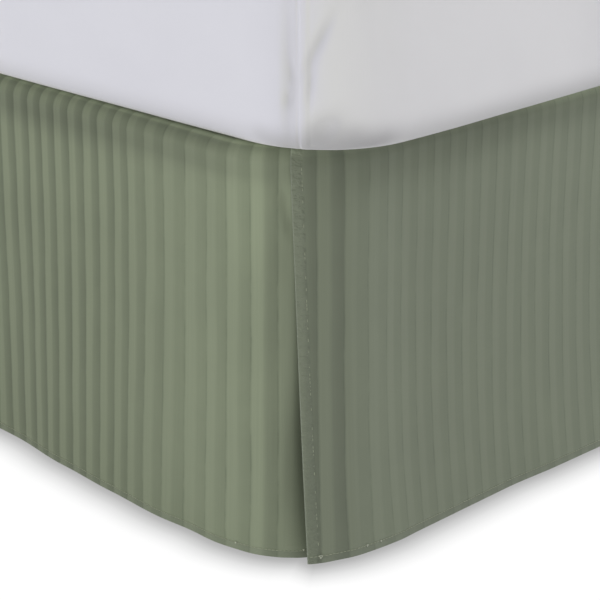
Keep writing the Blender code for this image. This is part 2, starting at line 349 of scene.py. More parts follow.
def foundation_box():
    """Straight sides that draw in a little at the welts, under a soft top edge."""
    edge = 0.007
    levels = [(0.0, 0.006), (0.0025, 0.0022), (edge, BODY_INSET)]
    for share in np.linspace(0.1, 0.95, 10):
        swell = SIDE_SWELL * math.sin(math.pi * share)
        levels.append((edge + share * (SIDE_TOP - edge), BODY_INSET - swell))
    for angle in np.radians(np.linspace(0, 90, 9)):
        levels.append((SIDE_TOP + (SHOULDER_RADIUS - TOP_CLEAR) * math.sin(angle),
                       SHOULDER_RADIUS - (SHOULDER_RADIUS - BODY_INSET) * math.cos(angle)))
    rings = [at_height(foundation_plan(inset)[0], FOUNDATION_BOTTOM + height)
             for height, inset in levels]
    box = ringed_body("foundation_cover", rings, off_white_ticking)
    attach(box, "root")
    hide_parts("foundation")


def foundation_welt(name, height, inset):
    """A covered cord all round, standing half out of the side."""
    plan, outward = foundation_plan(inset)
    count, sides = len(plan), 8
    points, faces = [], []
    for side, angle in enumerate(np.radians(np.arange(sides) * 360 / sides)):
        points.append(at_height(plan + outward * WELT_RADIUS * math.cos(angle),
                                FOUNDATION_BOTTOM + height + WELT_RADIUS * math.sin(angle)))
        faces += band(side * count, (side + 1) % sides * count, count)
    welt = mesh_piece(name, np.concatenate(points), faces, off_white_ticking)
    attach(welt, "root")


foundation_box()
foundation_welt("foundation_welt_bottom", WELT_RADIUS + WELT_CLEAR, WELT_RADIUS + WELT_CLEAR)
foundation_welt("foundation_welt_top", SIDE_TOP, WELT_RADIUS - BODY_INSET)


# ---- Skirt deck ----
# The flat middle of the skirt: plain unbleached cloth that lies between foundation and
# mattress.  The strips of the drop panels are seamed to its edge.

deck_low, deck_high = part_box("skirt_deck")
DECK_CLOTH = 0.0006
DECK_RIPPLE = 0.0003
DECK_COLOUR = (0.60, 0.585, 0.54)
DECK_SHADE = (0.50, 0.485, 0.44)
FLECK_COLOUR = (0.33, 0.28, 0.20)  # seed specks left in the yarn


def deck_cloth():
    made, tree, sockets = finish_of("deck_cloth_unbleached", Sheen_Weight=0.1, Sheen_Roughness=0.5)
    place = in_metres(tree)
    weave = weave_on(tree, place, 1250.0)
    flecks = eased(tree, noise(tree, place, 420.0, 2.0), 0.70, 0.78)
    tone = mixed(tree, weave["Unevenness"], DECK_SHADE, DECK_COLOUR)
    dress(tree, sockets, mixed(tree, flecks, tone, FLECK_COLOUR),
          eased(tree, weave["Height"], 0.0, 1.0, 0.95, 0.82),
          bumped(tree, weave["Height"], 0.0002, 0.6))
    return made


def keep_mark(piece, mark, values):
    """Keep one value for each point on a mesh, for its finish to read by name."""
    kept = piece.data.attributes.new(mark, "FLOAT", "POINT")
    kept.data.foreach_set("value", values.astype(np.float32))


def sewn_sheet(name, front, back, cloth_uv, marks, finish, turned=False):
    """A closed sheet of cloth from two grids of points that meet along their edges.

    front and back are (columns, rows, 3).  cloth_uv holds the place on the flat cloth, and
    marks are named grids of values; both are kept on the mesh.  turned is for a front whose
    columns run the other way.
    """
    columns, rows, _ = front.shape
    ids = np.arange(columns * rows).reshape(columns, rows)
    under = ids.copy()
    under[1:-1, 1:-1] = columns * rows + np.arange((columns - 2) * (rows - 2)).reshape(
        columns - 2, rows - 2)

    def quads(grid, turn):
        loops = [grid[:-1, :-1], grid[1:, :-1], grid[1:, 1:], grid[:-1, 1:]]
        return np.stack(loops[::-1] if turn else loops, axis=-1).reshape(-1, 4)

    faces = np.concatenate((quads(ids, turned), quads(under, not turned)))
    points = np.concatenate((front.reshape(-1, 3), back[1:-1, 1:-1].reshape(-1, 3)))
    piece = mesh_piece(name, points, faces.tolist(), finish)
    flat = np.concatenate((cloth_uv.reshape(-1, 2), cloth_uv[1:-1, 1:-1].reshape(-1, 2)))
    layer = piece.data.uv_layers.new(name="cloth")
    layer.uv.foreach_set("vector", flat[faces.ravel()].astype(np.float32).ravel())
    for mark, grid in marks.items():
        keep_mark(piece, mark, np.concatenate((grid.ravel(), grid[1:-1, 1:-1].ravel())))
    return piece


def skirt_deck():
    """The deck, a little rippled, with its seam turned under along the edges."""
    across = np.linspace(deck_low.x, deck_high.x, 60)
    along = np.linspace(deck_low.y, deck_high.y, 80)
    x, y = np.meshgrid(across, along, indexing="ij")
    ripple = DECK_RIPPLE * (np.sin(x * 9 + np.sin(y * 4)) * np.sin(y * 7 + 1.3) - 1)
    top = deck_high.z + ripple
    from_edge = np.minimum(np.minimum(x - deck_low.x, deck_high.x - x),
                           np.minimum(y - deck_low.y, deck_high.y - y))
    front = np.stack((x, y, np.where(from_edge > 0, top, top - DECK_CLOTH / 2)), axis=-1)
    back = np.stack((x, y, top - DECK_CLOTH), axis=-1)
    deck = sewn_sheet("skirt_deck_cloth", front, back, np.stack((x, y), axis=-1), {},
                      deck_cloth())
    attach(deck, "root")
    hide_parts("skirt_deck")


skirt_deck()


# ---- Skirt side panels ----
# Each side is one length of sage cotton sateen, woven in satin stripes on a plain
# ground.  Its top strip lies under the mattress, and the drop falls over the shoulder to
# a narrow turned hem.  The foot end of the panel runs on behind the foot panel.

GAP = 0.0003            # between pieces that touch
CLEARANCE = 0.002       # cloth off the edges that it falls over
OVER_FOUNDATION = 0.0015  # outer face of the cloth above what it lies on
SATEEN = 0.0006         # one layer of the cloth
HEMMED = 0.0015         # the turned hem, three layers
HEM_HEIGHT = 0.004
HEM_DEPTH = 0.0065      # from the edge up to the hem's stitching
END_HEM_DEPTH = 0.0085  # the same along a panel's free end
STRIP = 0.030
SIDE_FLARE, SIDE_CURVE = 0.0105, 1.5
FOOT_FLARE, FOOT_CURVE = 0.0175, 3.25
FLARE_BLEND = 0.080
UNDERLAP = 0.045
SHOULDER_STEPS = 5
HALF_ARC = CORNER_RADIUS * math.pi / 4
HEAD_ARC_START = HALF_ARC + 2 * (HALF_LENGTH - CORNER_RADIUS)
SIDE_END = HEAD_ARC_START + HALF_ARC
SHOULDER_HEIGHT = FOUNDATION_TOP - SHOULDER_RADIUS
DROP = SHOULDER_HEIGHT - HEM_HEIGHT
SHOULDER_ARC = (SHOULDER_RADIUS + CLEARANCE) * math.pi / 2
HEM_STEP = 0.0012       # how far a turned hem takes to rise to its full thickness
STITCH_PULL = 0.0004    # how deep the stitching draws the cloth in
THINNEST = 0.0003       # what is left of the cloth there
SIDE_STRIPE_REPEAT = -0.0225  # a satin and a plain stripe, counted towards the foot end
SIDE_STRIPE_START = 0.0151

# Stripe colours: the weave's own tone, with painted sheen on the satin, and painted shade on the
# dulled flank of each puffed stripe and in the thin dark line between stripes.
GROUND_COLOUR = (0.200, 0.230, 0.155)
SATIN_COLOUR = (0.247, 0.283, 0.186)
DULL_COLOUR = (0.153, 0.178, 0.117)
PAINTED_GREY_COLOUR = (0.204, 0.222, 0.186)  # painted light: the foot panel tinted greyer for how the light falls on its sateen
LINE_COLOUR = (0.115, 0.138, 0.088)
LINE_SHARE = 0.55
HEM_COLOUR = (0.170, 0.190, 0.150)
END_COLOUR = (0.222, 0.252, 0.180)   # turned end, three layers thick, by the splits
FOLD_HIGHLIGHT_COLOUR = (0.300, 0.330, 0.265)  # painted highlight along its folded edge

# Painted light and shade along the panel: darker right by the split, lighter on the ridge
# beside it, and darker again away from the corner.  A row is a place along the panel from
# its split, and the share of the cloth's colour painted there.
SIDE_PAINTED_SHADING = (
    (0.000, 0.86), (0.016, 0.94), (0.024, 0.95), (0.028, 1.12), (0.060, 1.08),
    (0.110, 1.05), (0.150, 0.98), (0.200, 0.91), (0.300, 0.87),
)
# A row is a height off the floor, and the share there at four distances from the split:
# painted shadow of the mattress in a band just under it, painted light on the strip and
# shoulder where the crevice under the mattress falls in shade, and painted light on the
# drop by the split.
SIDE_PAINTED_BY_HEIGHT_AT = (0.012, 0.035, 0.080, 0.300)
SIDE_PAINTED_BY_HEIGHT = (
    (0.020, 1.06, 1.00, 1.00, 1.00),
    (0.140, 1.08, 1.00, 1.00, 1.00),
    (0.200, 1.00, 1.00, 1.00, 1.00),
    (0.255, 1.00, 1.03, 1.00, 1.00),
    (0.280, 1.00, 1.10, 1.00, 1.05),
    (0.308, 1.10, 1.14, 1.00, 1.05),
    (0.324, 1.13, 1.13, 1.01, 1.02),
    (0.334, 1.12, 1.09, 0.97, 0.86),
    (0.343, 1.00, 0.97, 0.79, 0.73),
    (0.350, 0.96, 0.98, 0.81, 0.74),
    (0.3555, 1.03, 1.00, 0.87, 0.85),
    (0.3600, 1.04, 1.06, 0.80, 0.98),
    (0.3640, 1.10, 0.98, 0.73, 0.96),
    (0.3652, 1.22, 1.10, 0.85, 1.05),
    (0.366, 1.70, 1.70, 1.50, 1.65),
)
# A row is a place along the panel, and how strongly the stripes' painted sheen and shade
# show there, for how the light falls on that part of the panel.
SIDE_STRIPE_SHADING = (
    (0.035, 0.52), (0.065, 0.37), (0.115, 0.37), (0.235, 0.95),
)
# A row is a place along the panel, and how far the stripes there have slipped along it.
SIDE_SLIPPED = (
    (0.085, 0.0), (0.130, 0.0095), (0.180, 0.0145), (0.215, 0.0100), (0.260, 0.0086),
    (0.300, 0.0055), (0.340, 0.0), (2.000, 0.0),
)

# A row is one soft fold: its place along the panel from the split, half its width, its
# depth (plus is outward), the share of the drop where it starts, the share where it is
# fullest, and how far its foot drifts along the panel.
PLACE, HALF_SPAN, DEPTH, STARTS, FULLEST, DRIFT = range(6)
HEM_SHARE = 0.3         # what is left at the hem of a fold that is fullest above it
SPLIT_FOLDS = (
    (-0.034, 0.046, -0.0060, 0.37, 1.00, 0.000),
    (-0.004, 0.030, -0.0060, 0.37, 0.80, 0.000),
    (0.012, 0.030, -0.0030, 0.37, 1.00, 0.000),
)
LEFT_SIDE_FOLDS = SPLIT_FOLDS + (
    (0.048, 0.036, -0.0025, 0.19, 1.00, 0.000),
    (0.150, 0.060, 0.0045, 0.19, 1.00, 0.000),
    (0.215, 0.070, 0.0040, 0.19, 1.00, 0.000),
    (0.290, 0.080, 0.0025, 0.19, 1.00, 0.000),
    (0.375, 0.090, -0.0030, 0.19, 1.00, 0.000),
    (0.480, 0.110, -0.0020, 0.10, 1.00, 0.010),
    (0.640, 0.120, 0.0050, 0.37, 1.00, -0.012),
    (0.850, 0.150, -0.0040, 0.19, 1.00, 0.020),
    (1.110, 0.170, 0.0050, 0.28, 1.00, -0.020),
    (1.400, 0.160, -0.0040, 0.10, 1.00, 0.010),
    (1.700, 0.180, 0.0050, 0.24, 1.00, 0.000),
)
RIGHT_SIDE_FOLDS = SPLIT_FOLDS + (
    (0.064, 0.036, 0.0040, 0.28, 1.00, 0.000),
    (0.175, 0.080, -0.0030, 0.24, 1.00, -0.010),
    (0.330, 0.110, 0.0050, 0.19, 1.00, 0.012),
    (0.560, 0.130, -0.0040, 0.28, 1.00, 0.000),
    (0.800, 0.140, 0.0040, 0.10, 1.00, -0.018),
    (1.060, 0.160, -0.0050, 0.33, 1.00, 0.015),
    (1.360, 0.170, 0.0040, 0.19, 1.00, 0.000),
    (1.660, 0.160, -0.0040, 0.28, 1.00, 0.010),
)

# A row is one small crease: its place along the panel, its height off the floor, half
# its width, half its length, its depth (plus is outward), and how far it leans along the
# panel for each metre up.
LEFT_SIDE_CREASES = (
    (0.0095, 0.324, 0.0036, 0.012, -0.0026, 0.10),
    (0.018, 0.312, 0.0050, 0.022, 0.0009, 0.05),
    (0.0065, 0.304, 0.0036, 0.011, -0.0028, 0.15),
    (0.020, 0.282, 0.0060, 0.020, 0.0008, 0.00),
    (0.008, 0.268, 0.0050, 0.016, -0.0010, 0.00),
    (0.012, 0.090, 0.0050, 0.085, 0.0012, 0.00),
    (-0.0080, 0.090, 0.0062, 0.095, -0.0036, 0.03),
)
RIGHT_SIDE_CREASES = (
    (-0.0080, 0.090, 0.0062, 0.095, -0.0036, 0.03),
    (0.012, 0.318, 0.0045, 0.016, -0.0012, 0.10),
    (0.022, 0.300, 0.0050, 0.020, 0.0008, 0.00),
)


def smooth(share):
    share = np.clip(share, 0.0, 1.0)
    return share * share * (3 - 2 * share)


def unit(vectors):
    return vectors / np.linalg.norm(vectors, axis=-1, keepdims=True)


def read_off(table, place):
    """The value at a place, from a table with rows of a place and a value."""
    return np.interp(place, *np.array(table).T)


def bed_edge(along):
    """Plan of the foundation's edge at -X: x, y and the outward normal.

    along is 0 at the middle of the foot corner, less than 0 along the foot end, and more
    than 0 up the side and round the head corner.
    """
    at_foot = along < -HALF_ARC
    on_side = (along > HALF_ARC) & (along < HEAD_ARC_START)
    at_head = along >= HEAD_ARC_START
    angle = np.where(at_head, math.pi - (along - HEAD_ARC_START) / CORNER_RADIUS,
                     math.radians(225) - along / CORNER_RADIUS)
    angle = np.where(at_foot, math.radians(270), np.where(on_side, math.pi, angle))
    normal_x, normal_y = np.cos(angle), np.sin(angle)
    centre_y = (HALF_LENGTH - CORNER_RADIUS) * np.where(at_head, 1, -1)
    x = CORNER_RADIUS * (1 + normal_x) - HALF_WIDTH - np.where(at_foot, along + HALF_ARC, 0)
    y = CORNER_RADIUS * normal_y + centre_y + np.where(on_side, along - HALF_ARC, 0)
    return x, y, normal_x, normal_y


def fold_depth(folds, along, down):
    """How far the folds push the cloth out, at a share down of the drop."""
    depth = np.zeros_like(along)
    for fold in folds:
        across = (along - fold[PLACE] - fold[DRIFT] * (down - 0.5)) / fold[HALF_SPAN]
        grown = smooth((down - fold[STARTS]) / (fold[FULLEST] - fold[STARTS]))
        if fold[FULLEST] < 1:
            grown = grown - (1 - HEM_SHARE) * smooth((down - fold[FULLEST]) / (1 - fold[FULLEST]))
        wave = 0.5 * (1 + np.cos(math.pi * np.clip(across, -1, 1)))
        depth += fold[DEPTH] * grown * wave
    return depth


def crease_depth(creases, along, height):
    depth = np.zeros_like(along)
    for place, level, half_width, half_length, deep, lean in creases:
        above = height - level
        across = (along - place - lean * above) / half_width
        depth += deep * np.exp(-across ** 2 - (above / half_length) ** 2)
    return depth


def flare(along, down):
    """How far the drop stands out, at along from a split: more than 0 on the side."""
    side_share = smooth((along + FLARE_BLEND) / (2 * FLARE_BLEND))
    return (side_share * SIDE_FLARE * down ** SIDE_CURVE
            + (1 - side_share) * FOOT_FLARE * down ** FOOT_CURVE)


def cloth_section(row, lift, pushed_out):
    """Outer face of the cloth in the plane across its edge: outward and height.

    row runs 0 to 1 over the strip, 1 to 2 round the shoulder and 2 to 3 down the drop.
    """
    on_strip, on_shoulder = row <= 1, (row > 1) & (row <= 2)
    turn = np.radians(90) * np.clip(row - 1, 0, 1)
    off = GAP + (CLEARANCE - GAP) * np.clip((row - 1) * SHOULDER_STEPS / 2, 0, 1)
    radius = SHOULDER_RADIUS + off + OVER_FOUNDATION + lift
    outward = np.where(on_shoulder, radius * np.sin(turn) - SHOULDER_RADIUS,
                       CLEARANCE + OVER_FOUNDATION + lift + pushed_out)
    outward = np.where(on_strip, -SHOULDER_RADIUS - STRIP * (1 - row), outward)
    height = np.where(on_shoulder, radius * np.cos(turn) + SHOULDER_HEIGHT,
                      SHOULDER_HEIGHT - DROP * np.clip(row - 2, 0, 1))
    height = np.where(on_strip, FOUNDATION_TOP + GAP + OVER_FOUNDATION + lift, height)
    return outward, height


def side_face(side, folds, creases, along, row):
    """Points on the outer face of a side panel; side is -1 for the bed's left, 1 for its right."""
    down = np.clip(row - 2, 0, 1)
    x, y, normal_x, normal_y = bed_edge(along)
    pushed_out = flare(along, down) + fold_depth(folds, along, down)
    outward, height = cloth_section(row, 0.0, pushed_out)
    outward = outward + crease_depth(creases, along, height)
    return np.stack((-side * (x + normal_x * outward), y + normal_y * outward, height), axis=-1)


def left_face(along, row):
    return side_face(-1, LEFT_SIDE_FOLDS, LEFT_SIDE_CREASES, along, row)


def right_face(along, row):
    return side_face(1, RIGHT_SIDE_FOLDS, RIGHT_SIDE_CREASES, along, row)


def edge_places(depth):
    """Where the mesh needs points near a finished edge: its round fold and its stitching."""
    return [0.0, 0.0001, 0.0003, 0.0007, 0.0015, 0.003, depth - HEM_STEP, depth - 0.0004,
            depth + 0.0003, depth + HEM_STEP]


def panel_columns(length, fine_lengths, fine_step, coarse_step):
    """Places along a panel: close together at its ends, and finest at the hemmed ends."""
    first, last = fine_lengths
    places = edge_places(END_HEM_DEPTH)
    places += list(np.arange(places[-1] + fine_step, first, fine_step))
    middle = length - last - places[-1]
    places += list(places[-1] + np.linspace(0, middle, max(2, round(middle / coarse_step)))[1:])
    ends = [length - place for place in edge_places(END_HEM_DEPTH)][::-1]
    places += list(np.arange(places[-1] + fine_step, ends[0] - 0.3 * fine_step, fine_step))
    return np.array(places + ends)


def panel_rows(drop_step):
    """Rows from the seam under the mattress to the hem, as cloth_section counts them."""
    rows = list(np.array((0.0, 0.0001, 0.0005, 0.003, 0.010, 0.020)) / STRIP)
    rows += list(1 + np.linspace(0, 1, 15))
    hem = [3 - place / DROP for place in edge_places(HEM_DEPTH)][::-1]
    rows += list(np.linspace(2, hem[0], round(DROP / drop_step))[1:-1])
    return np.array(rows + hem)


def normals_of(face):
    along, down = np.gradient(face, axis=0), np.gradient(face, axis=1)
    return unit(np.cross(along, down))


def painted_shading_share(worn, painted_by_height_at, painted_by_height, from_split, height):
    """The painted light and shade on a panel, as a share of its colour, from its tables."""
    painted_by_height = np.array(painted_by_height)
    under = np.interp(height, painted_by_height[:, 0], painted_by_height[:, 1])
    for k in range(1, len(painted_by_height_at)):
        far = smooth((from_split - painted_by_height_at[k - 1]) / (painted_by_height_at[k] - painted_by_height_at[k - 1]))
        under = (1 - far) * under + far * np.interp(height, painted_by_height[:, 0], painted_by_height[:, k + 1])
    return read_off(worn, from_split) * under


def hang_panel(name, face_at, places, rows, stripes, marks_at, turned):
    """A drop panel with round folded edges and a turned hem at the bottom and both ends.

    stripes is the repeat and start along the panel, and how far a stripe has slipped at each
    place.  marks_at gives the marks that the cloth's finish reads.  turned is true for a
    panel whose places run anticlockwise round the bed, seen from above.
    """
    repeat, start, slip_at = stripes
    along, row = np.meshgrid(places, rows, indexing="ij")
    face = face_at(along, row)
    outward = normals_of(face) * (-1 if turned else 1)
    from_end = np.minimum(along - places[0], places[-1] - along)
    from_hem = (3 - row) * DROP
    from_seam = np.clip(row, 0, 1) * STRIP + np.clip(row - 1, 0, 2)
    doubled = np.maximum(smooth((END_HEM_DEPTH - from_end) / HEM_STEP + 0.5),
                         smooth((HEM_DEPTH - from_hem) / HEM_STEP + 0.5))
    thickness = SATEEN + (HEMMED - SATEEN) * doubled
    nearest = np.minimum(np.minimum(from_end, from_hem), from_seam)
    radius = thickness / 2
    round_off = radius * (1 - np.sqrt(1 - (1 - np.clip(nearest / radius, 0, 1)) ** 2))
    drawn_in = STITCH_PULL * np.maximum(np.exp(-((from_end - END_HEM_DEPTH) / HEM_STEP) ** 2),
                                        np.exp(-((from_hem - HEM_DEPTH) / HEM_STEP) ** 2))
    front = face - outward * (round_off + drawn_in)[..., None]
    back = face - outward * (np.maximum(thickness, drawn_in + THINNEST) - round_off)[..., None]
    run_down = np.where(row <= 1, row * STRIP, STRIP + np.clip(row - 1, 0, 1) * SHOULDER_ARC
                        + np.clip(row - 2, 0, 1) * DROP)
    cloth_uv = np.stack(((along - slip_at(along, row) - start) / repeat, run_down), axis=-1)
    marks = {"from_hem": np.clip(from_hem / HEM_DEPTH, 0, 4),
             "from_end": np.clip(from_end / END_HEM_DEPTH, 0, 4), **marks_at(along, face[..., 2])}
    panel = sewn_sheet(name + "_cloth", front, back, cloth_uv, marks, sage_sateen, turned)
    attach(panel, "root")
    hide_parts(name)
    return panel


def stripe_effect():
    """Satin stripes on a plain ground.  Cloth counts repeats across and metres down.

    Each repeat starts at a thin dark line, turns bright at once, and dulls towards the next:
    the satin's brightness is partly painted sheen, and the line and the dulling are
    painted shade of each puffed stripe.
    """
    group, takes, gives = effect("satin_stripes", {"Cloth": "Vector", "Waver": "Float"},
                                 {"Satin": "Float", "Dull": "Float", "Line": "Float",
                                  "Relief": "Float"})
    slow = noise(group, stretched(group, takes["Cloth"], (0.7, 10.0, 1.0)), 1.0, 3.0, 0.6)
    swing = maths(group, "MULTIPLY", maths(group, "SUBTRACT", slow, 0.5), takes["Waver"])
    across = axis_of(group, takes["Cloth"], "X")
    share = maths(group, "FRACT", maths(group, "ADD", across, swing))
    satin = maths(group, "MULTIPLY", eased(group, share, 0.01, 0.10),
                  eased(group, share, 0.60, 0.40))
    group.links.new(satin, gives["Satin"])
    group.links.new(eased(group, share, 0.45, 1.0), gives["Dull"])
    edge = maths(group, "ADD", eased(group, share, 0.05, 0.0), eased(group, share, 0.94, 1.0))
    # Noise that breaks up each stripe's dark line, which is partly painted shade.
    worn = noise(group, stretched(group, takes["Cloth"], (1.3, 26.0, 1.0)), 1.0, 4.0, 0.65)
    group.links.new(maths(group, "MULTIPLY", edge, eased(group, worn, 0.38, 0.60)), gives["Line"])
    hill = maths(group, "SINE", maths(group, "MULTIPLY", share, math.pi))
    group.links.new(maths(group, "POWER", hill, 0.7), gives["Relief"])
    return group


satin_stripes = stripe_effect()


def mark_on(tree, mark):
    """A mark that is kept on the mesh."""
    return node(tree, "Attribute", attribute_name=mark).outputs["Fac"]


def striped_sateen():
    made, tree, sockets = finish_of("skirt_sateen_sage", Sheen_Weight=0.10, Sheen_Roughness=0.4)
    cloth = node(tree, "UVMap", uv_map="cloth").outputs["UV"]
    stripes = node(tree, "Group", {"Cloth": cloth, "Waver": 0.20}, node_tree=satin_stripes).outputs
    stripe_shading, from_end = mark_on(tree, "satin_shows"), mark_on(tree, "from_end")
    place = in_metres(tree)
    weave = weave_on(tree, place, 1800.0)
    # The satin's painted sheen and the dulled flank's painted shade, as strong as the panel's
    # stripe shading.
    colour = mixed(tree, maths(tree, "MULTIPLY", stripes["Satin"], stripe_shading), GROUND_COLOUR,
                   SATIN_COLOUR)
    colour = mixed(tree, maths(tree, "MULTIPLY", stripes["Dull"], stripe_shading), colour, DULL_COLOUR)
    colour = mixed(tree, maths(tree, "MULTIPLY", stripes["Line"], LINE_SHARE), colour, LINE_COLOUR)
    streaks = noise(tree, stretched(tree, cloth, (14.0, 6.0, 1.0)), 1.0, 4.0, 0.6)
    colour = mixed(tree, eased(tree, streaks, 0.3, 0.8, 0.0, 0.16), colour, LINE_COLOUR)
    blotches = noise(tree, place, 16.0, 3.0, 0.6)
    colour = mixed(tree, eased(tree, blotches, 0.35, 0.75, 0.0, 0.22), colour, SATIN_COLOUR)
    colour = mixed(tree, maths(tree, "MULTIPLY", weave["Unevenness"], 0.10), colour, SATIN_COLOUR)
    # Painted light: the foot panel is greyer than the sides, as the light falls on its sateen.
    painted_grey_share = maths(tree, "MULTIPLY", mark_on(tree, "greyer"), 0.18)
    colour = mixed(tree, painted_grey_share, colour, PAINTED_GREY_COLOUR)
    hemmed = eased(tree, mark_on(tree, "from_hem"), 1.05, 0.85, 0.0, 0.30)
    colour = mixed(tree, hemmed, colour, HEM_COLOUR)
    colour = mixed(tree, eased(tree, from_end, 1.05, 0.95, 0.0, 0.35), colour, END_COLOUR)
    drawn = noise(tree, stretched(tree, place, (90.0, 90.0, 190.0)), 1.0, 3.0, 0.6)
    drawn = maths(tree, "MULTIPLY", eased(tree, drawn, 0.35, 0.65),
                  eased(tree, from_end, 1.2, 0.9))
    # Painted shade in the puckers that the stitching draws in beside each turned end.
    colour = mixed(tree, eased(tree, drawn, 0.50, 1.0, 0.0, 0.10), colour, LINE_COLOUR)
    # Painted highlight along each turned end's folded edge.
    colour = mixed(tree, eased(tree, from_end, 0.14, 0.04, 0.0, 0.6), colour, FOLD_HIGHLIGHT_COLOUR)
    # The colour scaled by the panel's painted light and shade.
    worn = node(tree, "VectorMath", {0: colour, "Scale": mark_on(tree, "worn")},
                operation="SCALE")
    rough = maths(tree, "SUBTRACT", 0.76, maths(tree, "MULTIPLY", stripes["Satin"], 0.16))
    yarns = bumped(tree, weave["Height"], 0.0001, 0.35)
    puffed = bumped(tree, stripes["Relief"], 0.0005, 0.6, under=yarns)
    dress(tree, sockets, worn.outputs["Vector"], rough,
          bumped(tree, drawn, 0.0011, 0.7, under=puffed))
    return made


sage_sateen = striped_sateen()


def side_panel(name, face_at, fine_length, turned):
    def slip_at(along, row):
        return read_off(SIDE_SLIPPED, along)

    def marks_at(along, height):
        return {"satin_shows": read_off(SIDE_STRIPE_SHADING, along),
                "worn": painted_shading_share(SIDE_PAINTED_SHADING, SIDE_PAINTED_BY_HEIGHT_AT, SIDE_PAINTED_BY_HEIGHT, along, height),
                "greyer": np.zeros_like(along)}

    places = panel_columns(SIDE_END + UNDERLAP, fine_lengths=(fine_length, 0.09),
                           fine_step=0.0032, coarse_step=0.0095) - UNDERLAP
    return hang_panel(name, face_at, places, panel_rows(drop_step=0.0050),
                      (SIDE_STRIPE_REPEAT, SIDE_STRIPE_START, slip_at), marks_at, turned)


left_cloth = side_panel("skirt_side_left", left_face, fine_length=0.55, turned=False)
right_cloth = side_panel("skirt_side_right", right_face, fine_length=0.15, turned=True)


# ---- Skirt foot panel ----
# The same cloth across the foot end.  Its hemmed free ends hang over the side panels at
# both corner splits, and slant a little because the cloth is not quite true.

LAP_DRIFT = 0.0125      # how far a free end slants along the panel from its top to the hem
LAP_DRIFT_LEVEL = 0.42  # share of the drop at which the end is in its place
LAP_DRIFT_REACH = 0.100  # the slant dies out in this
OFF_GRAIN = 0.8         # share of the slant that is in how the ends were cut
LAP_LIFT = OVER_FOUNDATION + GAP  # the foot panel lies on the side panels up to LAP_ENDS
LAP_ENDS, LAP_REACH = 0.0545, 0.059  # from the split, and then comes down in LAP_REACH
LAP_STRIPE_SHADING, FOOT_STRIPE_SHADING = 0.88, 0.22  # how strongly the stripes' painted sheen and shade show there, and past it
LAP_STRIPE_SHADING_TO, LAP_STRIPE_SHADING_FADE = 0.036, 0.014
FOOT_LENGTH = 2 * (HALF_ARC + HALF_WIDTH - CORNER_RADIUS)
FOOT_STRIPE_REPEAT = 0.0201
FOOT_STRIPE_START = -0.0010

# The foot panel's tables of painted light and shade have the same rows as the side's.
FOOT_PAINTED_SHADING = (
    (0.000, 0.83), (0.040, 0.84), (0.046, 0.96), (0.060, 1.00), (0.085, 1.00), (0.120, 0.95),
    (0.200, 0.97), (0.300, 1.00),
)
FOOT_PAINTED_BY_HEIGHT_AT = (0.050, 0.200, 0.340)
FOOT_PAINTED_BY_HEIGHT = (
    (0.325, 1.00, 1.00, 1.00),
    (0.334, 0.99, 0.98, 0.97),
    (0.343, 0.96, 0.96, 0.95),
    (0.350, 0.90, 0.90, 1.02),
    (0.3555, 0.91, 0.92, 1.18),
    (0.3600, 1.00, 1.22, 1.75),
    (0.3645, 1.38, 1.95, 2.60),
    (0.366, 1.65, 2.45, 2.80),
)
FOOT_SLIPPED = (
    (0.0135, -0.0040), (0.0365, -0.0020), (0.060, 0.0), (0.078, 0.0005), (0.095, -0.0010),
    (0.1125, -0.0025), (0.152, -0.0025), (0.193, -0.0015), (0.254, -0.0010), (0.312, -0.0020),
    (0.450, 0.0),
)
FOOT_FOLDS = (
    (0.000, 0.030, 0.0050, 0.19, 1.00, 0.000),
    (0.060, 0.036, -0.0030, 0.37, 1.00, 0.000),
    (0.315, 0.085, 0.0040, 0.19, 1.00, 0.000),
    (0.415, 0.110, 0.0075, 0.19, 1.00, 0.000),
    (0.560, 0.110, 0.0020, 0.28, 1.00, 0.012),
    (0.745, 0.130, -0.0040, 0.10, 1.00, 0.000),
    (0.960, 0.120, 0.0050, 0.33, 1.00, -0.015),
    (1.160, 0.100, -0.0040, 0.19, 1.00, 0.010),
    (1.310, 0.070, 0.0030, 0.24, 1.00, 0.000),
    (1.425, 0.036, -0.0020, 0.37, 1.00, 0.000),
    (1.485, 0.030, 0.0040, 0.19, 1.00, 0.000),
)
FOOT_CREASES = ((0.016, 0.318, 0.0035, 0.006, -0.0008, 0.00),)


def lap_drift(from_split, down):
    return LAP_DRIFT * (down - LAP_DRIFT_LEVEL) * (1 - smooth(from_split / LAP_DRIFT_REACH))


def foot_face(along, row):
    """Points on the outer face of the foot panel, from its -X end to its +X end."""
    down = np.clip(row - 2, 0, 1)
    from_split = np.minimum(along, FOOT_LENGTH - along)
    x, y, normal_x, normal_y = bed_edge(-from_split - lap_drift(from_split, down))
    lift = LAP_LIFT * (1 - smooth((from_split - LAP_ENDS) / LAP_REACH))
    pushed_out = flare(-from_split, down) + fold_depth(FOOT_FOLDS, along, down)
    outward, height = cloth_section(row, lift, pushed_out)
    outward = outward + crease_depth(FOOT_CREASES, along, height)
    x, y = x + normal_x * outward, y + normal_y * outward
    return np.stack((np.where(along < FOOT_LENGTH / 2, x, -x), y, height), axis=-1)


